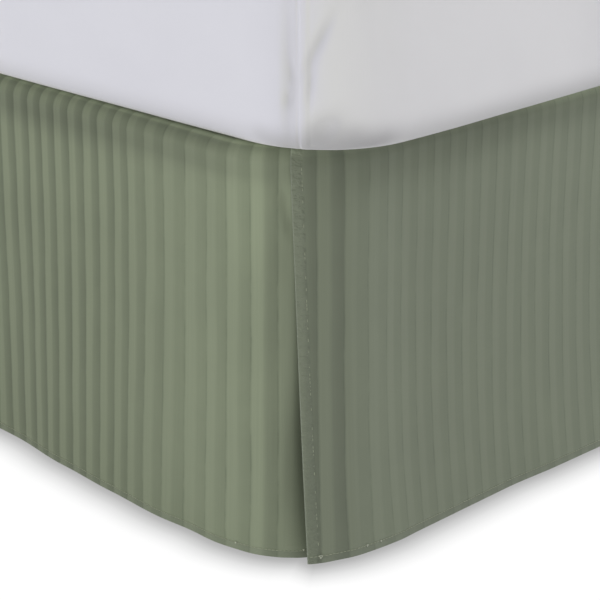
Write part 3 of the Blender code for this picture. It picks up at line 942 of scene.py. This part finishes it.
def foot_panel():
    def slip_at(along, row):
        from_split = np.minimum(along, FOOT_LENGTH - along)
        off_true = OFF_GRAIN * lap_drift(from_split, np.clip(row - 2, 0, 1))
        slipped = read_off(FOOT_SLIPPED, along)
        return slipped + np.where(along < FOOT_LENGTH / 2, -off_true, off_true)

    def marks_at(along, height):
        from_split = np.minimum(along, FOOT_LENGTH - along)
        past_lap = smooth((from_split - LAP_STRIPE_SHADING_TO) / LAP_STRIPE_SHADING_FADE)
        return {"satin_shows": FOOT_STRIPE_SHADING + (LAP_STRIPE_SHADING - FOOT_STRIPE_SHADING) * (1 - past_lap),
                "worn": painted_shading_share(FOOT_PAINTED_SHADING, FOOT_PAINTED_BY_HEIGHT_AT, FOOT_PAINTED_BY_HEIGHT, from_split, height),
                "greyer": np.ones_like(along)}

    places = panel_columns(FOOT_LENGTH, fine_lengths=(0.45, 0.12), fine_step=0.0032,
                           coarse_step=0.0090)
    return hang_panel("skirt_foot", foot_face, places, panel_rows(drop_step=0.0048),
                      (FOOT_STRIPE_REPEAT, FOOT_STRIPE_START, slip_at), marks_at, turned=True)


foot_cloth = foot_panel()


# ---- Stitching ----
# Lockstitch in a thread a shade lighter than the cloth: one row holds the hem of each
# panel, and one row, sunk unevenly in the cloth, holds the turned end at each split.  A few
# raw thread ends are left in small tangles on the hems.

STITCH = 0.0030
STITCH_GAP = 0.0004
THREAD_RADIUS = 0.00030
RAW_THREAD_RADIUS = 0.75 * THREAD_RADIUS
HEM_SUNK, END_SUNK = (0.0002, 0.0003), (0.00045, 0.00085)  # least and most
HEM_STITCHES = 3 - HEM_DEPTH / DROP  # the row of cloth that a hem's stitches run along
END_STITCHES = (2.0, 3 - 0.004 / DROP)  # the rows where an end's start and stop
LINE_STEP = 0.002       # how closely a stitching line follows the cloth
THREAD_COLOUR = (0.40, 0.43, 0.31)
THREAD_SHADE = (0.30, 0.33, 0.23)
# The raw ends are partly paler thread and partly painted highlight where their loose ply catches
# the light.
RAW_HIGHLIT_COLOUR = (0.80, 0.83, 0.70)
# A row is one tangle of thread: its place along the panel, its height over the hem's
# stitching, and its radius.
FOOT_TANGLES = (
    (0.0095, 0.0000, 0.0017),
    (0.0500, 0.0003, 0.0010),
    (0.0640, 0.0000, 0.0007),
    (1.5070, 0.0002, 0.0012),
)
SIDE_TANGLES = (
    (-0.0050, 0.0010, 0.0008),
    (0.0500, 0.0002, 0.0009),
)


def sewing_thread(name, thread_colour):
    made, tree, sockets = finish_of(name, Sheen_Weight=0.2, Sheen_Roughness=0.3)
    place = in_metres(tree)
    ply = noise(tree, place, 2600.0, 2.0)
    dress(tree, sockets, mixed(tree, ply, thread_colour, THREAD_SHADE),
          eased(tree, ply, 0.2, 0.8, 0.45, 0.65), bumped(tree, ply, 0.0001, 0.5))
    return made


light_thread = sewing_thread("thread_sage_light", THREAD_COLOUR)
raw_thread_highlit = sewing_thread("thread_raw_end_highlit", RAW_HIGHLIT_COLOUR)


def stitch_shape():
    """One stitch as rings along X from -0.5 to 0.5: points (along, across, up) and faces."""
    sides = 6
    rings = ((-0.5, 0.30), (-0.36, 0.85), (0.0, 1.0), (0.36, 0.85), (0.5, 0.30))
    angles = np.arange(sides) * math.tau / sides
    points = [(along, thick * math.cos(a), thick * math.sin(a)) for along, thick in rings
              for a in angles]
    last = (len(rings) - 1) * sides
    faces = []
    for low in range(0, last, sides):
        faces += band(low, low + sides, sides)
    faces.append(tuple(range(sides - 1, -1, -1)))
    faces.append(tuple(range(last, last + sides)))
    return np.array(points), faces


def seam_path(face_at, along, row, turned, sunk):
    """The run of a stitching line on a panel's face, as stitch_row takes it."""
    nudge_along, nudge_row = 0.0005, 0.002
    here = face_at(along, row)
    across = face_at(along + nudge_along, row) - face_at(along - nudge_along, row)
    down = face_at(along, row + nudge_row) - face_at(along, row - nudge_row)
    return here, unit(np.cross(across, down)) * (-1 if turned else 1), sunk


def thread_piece(name, points, faces, thread):
    piece = mesh_piece(name, np.concatenate(points), faces, thread)
    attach(piece, "root")
    return piece


def stitch_row(name, runs):
    """Stitches in one joined mesh.

    A run is points on the cloth, its outward normals, and how far its stitches are sunk.
    """
    shape, shape_faces = stitch_shape()
    uneven = np.random.default_rng(5)
    points, faces = [], []
    for path, normals, sunk in runs:
        steps = np.linalg.norm(np.diff(path, axis=0), axis=1)
        reach = np.concatenate(([0.0], np.cumsum(steps)))
        starts = np.arange(0.0, reach[-1] - STITCH, STITCH + STITCH_GAP)
        ends = [np.stack([np.interp(starts + at, reach, path[:, k]) for k in range(3)], axis=1)
                for at in (0.0, STITCH)]
        normal = np.stack([np.interp(starts, reach, normals[:, k]) for k in range(3)], axis=1)
        for start, end, up in zip(*ends, normal):
            tangent = (end - start) / np.linalg.norm(end - start)
            across = np.cross(up, tangent)
            middle = (start + end) / 2 - up * uneven.uniform(*sunk)
            offset = len(points) * len(shape)
            points.append(middle + shape[:, :1] * STITCH * tangent
                          + THREAD_RADIUS * (shape[:, 1:2] * across + shape[:, 2:] * up))
            faces += [tuple(v + offset for v in face) for face in shape_faces]
    return thread_piece(name, points, faces, light_thread)


def thread_tangles(name, face_at, tangles, turned):
    """Loose thread ends, each one looped round itself on the cloth."""
    turns, sides = np.linspace(0, math.tau, 40, endpoint=False), 5
    angles = np.arange(sides) * math.tau / sides
    points, faces = [], []
    for place, above, radius in tangles:
        row = np.array([3 - (HEM_DEPTH + above) / DROP])
        path, normals, _ = seam_path(face_at, np.array([place]), row, turned, (0.0, 0.0))
        up = normals[0]
        across = np.cross(up, (0.0, 0.0, 1.0))
        knot = np.stack((np.sin(turns) + 2 * np.sin(2 * turns),
                         np.cos(turns) - 2 * np.cos(2 * turns),
                         0.5 * (1 - np.sin(3 * turns)) + 0.4), axis=1) * radius / 3
        loop = path[0] + knot @ np.stack((across, np.cross(across, up), 1.5 * up))
        ahead = unit(np.roll(loop, -1, axis=0) - np.roll(loop, 1, axis=0))
        beside = unit(np.cross(ahead, up + 0.3 * across))
        first = len(points) * sides
        for centre, side_way, up_way in zip(loop, beside, np.cross(beside, ahead)):
            points.append([centre + RAW_THREAD_RADIUS
                           * (side_way * math.cos(a) + up_way * math.sin(a)) for a in angles])
        for ring in range(len(turns)):
            faces += band(first + ring * sides, first + (ring + 1) % len(turns) * sides, sides)
    return thread_piece(name, points, faces, raw_thread_highlit)


def panel_stitches(name, face_at, start, end, turned):
    """One row along the hem, and one down each turned end."""
    along = np.arange(start + LINE_STEP, end - LINE_STEP, LINE_STEP)
    runs = [seam_path(face_at, along, np.full_like(along, HEM_STITCHES), turned, HEM_SUNK)]
    rows = np.linspace(*END_STITCHES, 150)
    for place in (start + END_HEM_DEPTH, end - END_HEM_DEPTH):
        runs.append(seam_path(face_at, np.full_like(rows, place), rows, turned, END_SUNK))
    return stitch_row(name, runs)


def sew(name, face_at, start, end, tangles, turned):
    """Stitch a panel from start to end, with small tangles of raw thread ends on its hem."""
    stitches = panel_stitches("stitching_" + name, face_at, start, end, turned)
    ends = thread_tangles("thread_ends_" + name, face_at, tangles, turned)


sew("side_left", left_face, -UNDERLAP, SIDE_END, SIDE_TANGLES, turned=False)
sew("side_right", right_face, -UNDERLAP, SIDE_END, SIDE_TANGLES, turned=True)
sew("foot", foot_face, 0.0, FOOT_LENGTH, FOOT_TANGLES, turned=True)


# ---- Mattress ----
# A sprung mattress in a white cotton fitted cover.  The cover is cut as a top and side
# bands, joined at each corner by a pressed seam, and its elastic edge draws it under the
# mattress, so it puckers by the seams.

MATTRESS_SWELL = 0.006
MATTRESS_PLACE = (-0.0051, -0.0188)
MATTRESS_TURN = math.radians(0.6)
MATTRESS_RADIUS = 0.097
LOWER_EDGE, LOWER_ROLL, UPPER_EDGE = 0.0095, 0.027, 0.035
mattress_low, mattress_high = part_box("mattress")
MATTRESS_BOTTOM, MATTRESS_TOP = mattress_low.z, mattress_high.z
SEAM_WIDTH = 0.0078     # the pressed allowance beside the seam's line
SEAM_RISE, SEAM_SUNK = 0.0007, 0.0006
SEAM_STEP, SEAM_GROOVE, SEAM_FADE = 0.0012, 0.0013, 0.0018
COVER_FADE = 0.03       # how far in from its edge the cover's relief dies out
LEAST_RADIUS = 0.02
PUCKER_DEPTH, PUCKER_REACH = 0.0018, 0.022
SEAM_PLACES = (-0.012, 0.015, 0.0218, -0.016)  # each line off its corner's middle, from +X +Y on
CORNER_STEPS, WIDTH_STEPS, LENGTH_STEPS = 120, 66, 90
COVER_COLOUR = (0.80, 0.795, 0.795)
COVER_SHADE = (0.75, 0.745, 0.750)
# painted light: the colour of the light on the cover's long sides, bluer than on its ends
COVER_SIDE_LIGHT_TINT = (0.720, 0.712, 0.830)
COVER_YARN = (0.85, 0.85, 0.86)  # the thicker yarns
COVER_PAINTED_SHADE = (0.30, 0.295, 0.305)  # painted shade under the cover's lower edge and in its puckers
PAINTED_SHADE_LOW, PAINTED_SHADE_HIGH = 0.003, 0.036  # above the underside: where the painted shade is full, and where it ends

# A row is one soft bow of the side: its place along the edge from the foot corner's middle,
# more than 0 up the left side, half its width, and how far it stands out.
COVER_BOWS = (
    (0.400, 0.220, 0.0028),
    (0.075, 0.110, -0.0020),
    (-0.130, 0.110, 0.0026),
    (-0.430, 0.220, -0.0048),
)

# A row is one wrinkle of the cover, in the same form as the skirt's creases.
COVER_WRINKLES = (
    (0.0300, 0.430, 0.0060, 0.060, -0.0018, 0.00),
    (0.0270, 0.431, 0.0030, 0.010, -0.0012, 0.10),
    (0.0300, 0.411, 0.0050, 0.007, -0.0014, -0.20),
    (0.0060, 0.455, 0.0050, 0.022, -0.0016, -0.46),
    (0.0120, 0.424, 0.0035, 0.016, -0.0012, -0.10),
    (0.0000, 0.388, 0.0130, 0.012, -0.0030, -0.30),
    (-0.0250, 0.384, 0.0150, 0.008, -0.0012, 0.20),
    (0.0500, 0.384, 0.0120, 0.008, -0.0008, 0.00),
    (-0.0500, 0.440, 0.0110, 0.050, -0.0008, 0.30),
    (0.0900, 0.430, 0.0200, 0.060, -0.0010, 0.50),
    (0.2300, 0.420, 0.0300, 0.030, -0.0012, 1.40),
    (0.3300, 0.450, 0.0300, 0.030, 0.0012, 1.60),
    (-0.2000, 0.430, 0.0300, 0.040, 0.0010, -1.10),
    (-0.3200, 0.410, 0.0300, 0.030, -0.0010, -0.80),
)


def white_cotton():
    made, tree, sockets = finish_of("cover_cotton_white", Sheen_Weight=0.12, Sheen_Roughness=0.5)
    place = in_metres(tree)
    weave = weave_on(tree, place, 1900.0)
    patchy = eased(tree, noise(tree, place, 5.0, 3.0), 0.3, 0.7)
    tone = mixed(tree, patchy, COVER_SHADE, COVER_COLOUR)
    facing = node(tree, "NewGeometry").outputs["Normal"]
    side, end = (maths(tree, "ABSOLUTE", axis_of(tree, facing, axis)) for axis in "XY")
    # Painted light: the long sides are tinted bluer, for the light that falls on them.
    tone = mixed(tree, eased(tree, side, 0.65, 0.95, 0.0, 0.7), tone, COVER_SIDE_LIGHT_TINT)
    # Painted shade round the cover's lower edge, fullest at the corners and weaker on the long
    # sides.
    drawn = eased(tree, axis_of(tree, place, "Z"), MATTRESS_BOTTOM + PAINTED_SHADE_HIGH,
                  MATTRESS_BOTTOM + PAINTED_SHADE_LOW)
    drawn = maths(tree, "POWER", drawn, 2.2)
    at_corner = maths(tree, "MULTIPLY", side, end)
    drawn = maths(tree, "MULTIPLY", drawn, eased(tree, at_corner, 0.04, 0.28, 0.42, 0.78))
    drawn = maths(tree, "MULTIPLY", drawn, eased(tree, side, 0.60, 0.98, 1.0, 0.80))
    tone = mixed(tree, drawn, tone, COVER_PAINTED_SHADE)
    # Painted shade in the troughs of the wrinkles by the foot corner's seam.
    painted_pucker_shade = maths(tree, "MULTIPLY", mark_on(tree, "painted_pucker_shade"), 0.30)
    tone = mixed(tree, painted_pucker_shade, tone, COVER_PAINTED_SHADE)
    tone = mixed(tree, maths(tree, "MULTIPLY", weave["Unevenness"], 0.15), tone, COVER_YARN)
    rough = eased(tree, weave["Height"], 0.0, 1.0, 0.88, 0.76)
    yarns = bumped(tree, weave["Height"], 0.0001, 0.3)
    soft = noise(tree, stretched(tree, place, (1.0, 1.0, 1.6)), 7.0, 4.0, 0.55)
    dress(tree, sockets, tone, rough, bumped(tree, soft, 0.006, 0.30, under=yarns))
    return made


def cover_levels():
    """Height and inset of each ring of the cover, from under the mattress to its top."""
    levels = [(MATTRESS_BOTTOM, inset) for inset in (0.60, 0.30, 0.12, 0.06, 0.025)]
    for angle in np.radians(np.linspace(0, 90, 16)):
        levels.append((MATTRESS_BOTTOM + LOWER_ROLL * (1 - math.cos(angle)),
                       LOWER_EDGE * (1 - math.sin(angle))))
    side_low, side_high = MATTRESS_BOTTOM + LOWER_ROLL, MATTRESS_TOP - UPPER_EDGE
    seen = side_low + 0.100
    for low, high, count in ((side_low, seen, 34), (seen, side_high, 10)):
        levels += [(height, 0.0) for height in np.linspace(low, high, count)[1:]]
    for angle in np.radians(np.linspace(0, 90, 10)[1:]):
        levels.append((side_high + UPPER_EDGE * math.sin(angle),
                       UPPER_EDGE * (1 - math.cos(angle))))
    over_top = (0.06, 0.10, 0.16, 0.24, 0.34, 0.46, 0.60, 0.70)
    return levels + [(MATTRESS_TOP, inset) for inset in over_top]


def cover_relief(around, height):
    """How far the cover stands out of its plain form; around is each corner's own run."""
    foot_left = around[2]
    relief = crease_depth(COVER_WRINKLES, foot_left, height)
    for place, half_span, depth in COVER_BOWS:
        across = np.clip((foot_left - place) / half_span, -1, 1)
        relief += depth * 0.5 * (1 + np.cos(math.pi * across))
    for along, line in zip(around, SEAM_PLACES):
        behind = line - along
        pressed = smooth(behind / SEAM_STEP) * smooth((SEAM_WIDTH - behind) / SEAM_FADE + 0.5)
        relief += SEAM_RISE * pressed - SEAM_SUNK * np.exp(-(behind / SEAM_GROOVE) ** 2)
    return relief


def mattress_cover():
    half_width, half_length = HALF_WIDTH + MATTRESS_SWELL, HALF_LENGTH + MATTRESS_SWELL
    shape = (WIDTH_STEPS, LENGTH_STEPS, CORNER_STEPS)
    edge, _ = rounded_outline(half_width, half_length, MATTRESS_RADIUS, *shape)
    steps = np.linalg.norm(np.roll(edge, -1, axis=0) - edge, axis=1)
    run = np.concatenate(([0.0], np.cumsum(steps)[:-1]))
    total = steps.sum()
    middles = [CORNER_STEPS // 2]
    for straight in (WIDTH_STEPS, LENGTH_STEPS, WIDTH_STEPS):
        middles.append(middles[-1] + CORNER_STEPS + straight)
    around = [(run[middle] - run + total / 2) % total - total / 2 for middle in middles]
    rings, painted_pucker_shade = [], []
    for height, inset in cover_levels():
        plan, outward = rounded_outline(half_width - inset, half_length - inset,
                                        max(LEAST_RADIUS, MATTRESS_RADIUS - inset), *shape)
        drawn = np.full(len(plan), max(0.0, 1 - inset / COVER_FADE))
        plan = plan + outward * (drawn * cover_relief(around, height))[:, None]
        rings.append(at_height(plan, height))
        # How deep each point lies in a wrinkle, kept for the painted shade in the troughs.
        pressed_in = -crease_depth(COVER_WRINKLES, around[2], height) * drawn
        pressed_in *= 1 - smooth((abs(around[2]) - PUCKER_REACH) / PUCKER_REACH)
        painted_pucker_shade.append(np.clip(pressed_in / PUCKER_DEPTH, 0, 1))
    turn = np.array(((math.cos(MATTRESS_TURN), -math.sin(MATTRESS_TURN)),
                     (math.sin(MATTRESS_TURN), math.cos(MATTRESS_TURN))))
    for ring in rings:
        ring[:, :2] = ring[:, :2] @ turn.T + MATTRESS_PLACE
    cover = ringed_body("mattress_in_cover", rings, white_cotton())
    keep_mark(cover, "painted_pucker_shade", np.concatenate(painted_pucker_shade))
    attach(cover, "root")
    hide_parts("mattress")


mattress_cover()


# ---- Studio ----
# A pale lit floor with a soft shade along the hem, under an even white sky.  One large
# soft lamp stands low on the left of the foot corner, and one hangs high on its right.

FLOOR_COLOUR = (0.80, 0.80, 0.80)
FLOOR_PATCHES = (0.82, 0.82, 0.82)
BLACK, WHITE = (0.0, 0.0, 0.0), (1.0, 1.0, 1.0, 1.0)  # white is set on sockets, with its alpha
FLOOR_GLOW = 0.36       # what the floor sends up onto the cloth
OPEN_FLOOR = 1.02       # its tone to the eye, well away from the bed
SKY_LIGHT = 0.30
FLOOR_REACH = 30.0
# A row is a distance out from the hem, and the floor's tone there: the hem's soft shade.
HEM_SHADE = (
    (-0.020, 0.36), (-0.004, 0.45), (0.000, 0.50), (0.003, 0.555),
    (0.006, 0.61), (0.0095, 0.665), (0.0145, 0.76), (0.020, 0.835), (0.027, 0.92),
    (0.035, 0.985), (0.045, 1.00), (0.060, 1.02),
)
# The same, out from the open head end.
HEAD_SHADE = ((-0.020, 0.85), (0.000, 0.87), (0.060, 1.02))
UNDER_BED, UNDER_HEAD = 0.26, 0.85  # its tone under the middle and under the head end
UNDER_REACH = 0.080     # how far in from the hem that tone begins
HEAD_FROM, HEAD_OVER = 0.40, 0.60  # where along the bed the open end begins to light it
HEM_SPACING = 0.008


def hem_outline():
    """Round the hem from the left of the head end by way of the foot, closed at the head."""
    side = np.arange(0.0, SIDE_END, HEM_SPACING)
    foot = np.arange(HEM_SPACING / 2, FOOT_LENGTH, HEM_SPACING)
    left, front, right = (face_at(along, np.full_like(along, 3.0)) for face_at, along in
                          ((left_face, side[::-1]), (foot_face, foot), (right_face, side)))
    head = right[-1] + (left[0] - right[-1]) * np.linspace(0, 1, 40)[1:-1, None]
    line = np.concatenate((left, front, right, head))[:, :2]
    open_end = np.arange(len(line)) >= len(line) - len(head)
    return line, open_end


def floor_rings():
    """Points and tones in rings round the hem, from under the bed to the floor's far edge."""
    line, open_end = hem_outline()
    ahead = np.roll(line, -2, axis=0) - np.roll(line, 2, axis=0)
    outward = np.stack((-ahead[:, 1], ahead[:, 0]), axis=1)
    outward *= np.sign(np.sum(outward * line))
    outward = unit(outward)
    rings = [(line - outward * UNDER_REACH) * share for share in (0.25, 0.5, 0.75, 1.0)]
    tones = [UNDER_BED + (UNDER_HEAD - UNDER_BED) * smooth((ring[:, 1] - HEAD_FROM) / HEAD_OVER)
             for ring in rings]
    for distance, tone in HEM_SHADE:
        rings.append(line + outward * distance)
        tones.append(np.where(open_end, read_off(HEAD_SHADE, distance), tone))
    rings.append(unit(line) * FLOOR_REACH)
    tones.append(np.full(len(line), OPEN_FLOOR))
    return rings, tones


def pale_floor():
    """White to the eye, with a soft shade by the hem, and pale grey to the light."""
    made, tree, sockets = finish_of("floor_pale")
    place = in_metres(tree)
    seen = node(tree, "LightPath").outputs["Is Camera Ray"]
    tone = mixed(tree, noise(tree, place, 2.0, 3.0), FLOOR_COLOUR, FLOOR_PATCHES)
    tree.links.new(mixed(tree, seen, tone, BLACK), sockets["Base Color"])
    tree.links.new(eased(tree, noise(tree, place, 30.0, 3.0), 0.3, 0.7, 0.75, 0.85),
                   sockets["Roughness"])
    sockets["Emission Color"].default_value = WHITE
    lit = maths(tree, "SUBTRACT", mark_on(tree, "tone"), FLOOR_GLOW)
    glow = maths(tree, "ADD", FLOOR_GLOW, maths(tree, "MULTIPLY", seen, lit))
    tree.links.new(glow, sockets["Emission Strength"])
    rings, tones = floor_rings()
    count = len(rings[0])
    points = [(x, y, 0.0) for ring in rings for x, y in ring] + [(0.0, 0.0, 0.0)]
    faces = [(k, (k + 1) % count, len(points) - 1) for k in range(count)]
    for ring in range(len(rings) - 1):
        quads = band(ring * count, (ring + 1) * count, count)
        faces += [(a, d, c, b) for a, b, c, d in quads]
    floor = mesh_piece("floor", points, faces, made)
    keep_mark(floor, "tone", np.append(np.concatenate(tones), UNDER_BED))


def soft_lamp(name, location, target, size, power, colour):
    data = bpy.data.lights.new(name, "AREA")
    data.shape = "SQUARE"
    data.size = size
    data.energy = power
    data.color = colour
    lamp = bpy.data.objects.new(name, data)
    lamp.location = location
    aim = np.array(target) - np.array(location)
    lamp.rotation_euler = (math.atan2(math.hypot(aim[0], aim[1]), -aim[2]), 0.0,
                           math.atan2(-aim[0], aim[1]))
    bpy.context.scene.collection.objects.link(lamp)


def white_sky():
    world = bpy.data.worlds.new("studio_sky")
    bpy.context.scene.world = world
    world.use_nodes = True
    tree = world.node_tree
    background = tree.nodes["Background"]
    background.inputs["Color"].default_value = WHITE
    seen = node(tree, "LightPath").outputs["Is Camera Ray"]
    tree.links.new(eased(tree, seen, 0.0, 1.0, SKY_LIGHT, OPEN_FLOOR),
                   background.inputs["Strength"])


CAMERA_PLACE = (-1.6730, -1.9631, 0.7453)
CAMERA_DOWN, CAMERA_TURN = 20.574, 44.014
CAMERA_LENS, CAMERA_SENSOR = 105.33, 36.0


def studio_camera():
    data = bpy.data.cameras.new("camera")
    data.lens, data.sensor_width = CAMERA_LENS, CAMERA_SENSOR
    camera = bpy.data.objects.new("camera", data)
    camera.location = CAMERA_PLACE
    camera.rotation_euler = (math.radians(90 - CAMERA_DOWN), 0.0, math.radians(-CAMERA_TURN))
    bpy.context.scene.collection.objects.link(camera)
    bpy.context.scene.camera = camera


pale_floor()
white_sky()
soft_lamp("side_lamp", location=(-3.2, -0.6, 1.0), target=(-0.76, -0.6, 0.2), size=1.2,
          power=22.0, colour=(0.985, 1.0, 0.94))
soft_lamp("foot_lamp", location=(0.4, -2.4, 3.0), target=(-0.4, -1.0, 0.2), size=1.0,
          power=40.0, colour=(1.01, 1.0, 1.07))
studio_camera()
bpy.context.scene.view_settings.view_transform = "Standard"
